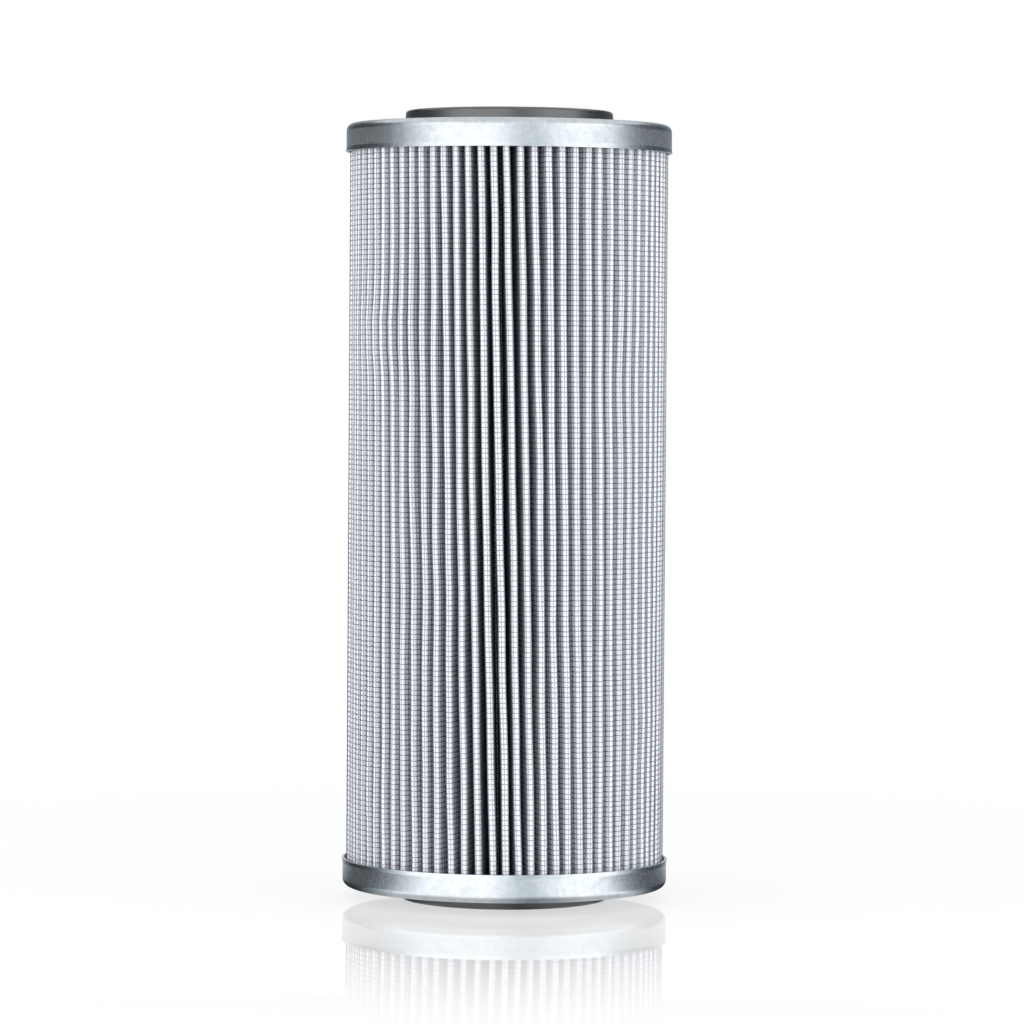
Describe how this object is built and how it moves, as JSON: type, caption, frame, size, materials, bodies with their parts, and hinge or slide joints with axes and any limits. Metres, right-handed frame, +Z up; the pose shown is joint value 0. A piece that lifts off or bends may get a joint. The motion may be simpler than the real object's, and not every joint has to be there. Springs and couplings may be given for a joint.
{
  "type": "pleated hydraulic filter element",
  "caption": "Cylindrical pleated filter element with wire-backed media, plated steel end caps, a perforated core and rubber bore seals at both ends.",
  "frame": {"origin": "middle of the bottom seal's end face, which is the middle of the bottom of the bounding box", "axes": "+Z up the element's axis, from the bottom seal to the top seal; +Y towards the side seam"},
  "size_m": [0.0956, 0.0956, 0.231],
  "materials": {
    "cap_steel": "zinc plated, fine grain",
    "seal_rubber": "moulded, satin",
    "core_steel": "zinc plated",
    "epoxy": "cured, slightly glossy",
    "wire_cloth": "woven steel wire over white web",
    "white_web": "non-woven",
    "glass_fiber": "matt fibre mat",
    "clip_steel": "plain strip"
  },
  "bodies": {
    "root": {"top_end_cap": "cap_steel", "bottom_end_cap": "cap_steel", "top_seal": "seal_rubber", "bottom_seal": "seal_rubber", "core_tube": "core_steel", "top_potting": "epoxy", "bottom_potting": "epoxy", "outer_wire_mesh": "wire_cloth", "outer_web": "white_web", "glass_fiber_media": "glass_fiber", "inner_web": "white_web", "inner_wire_mesh": "wire_cloth", "side_seam_clip": "clip_steel"}
  },
  "joints": []
}
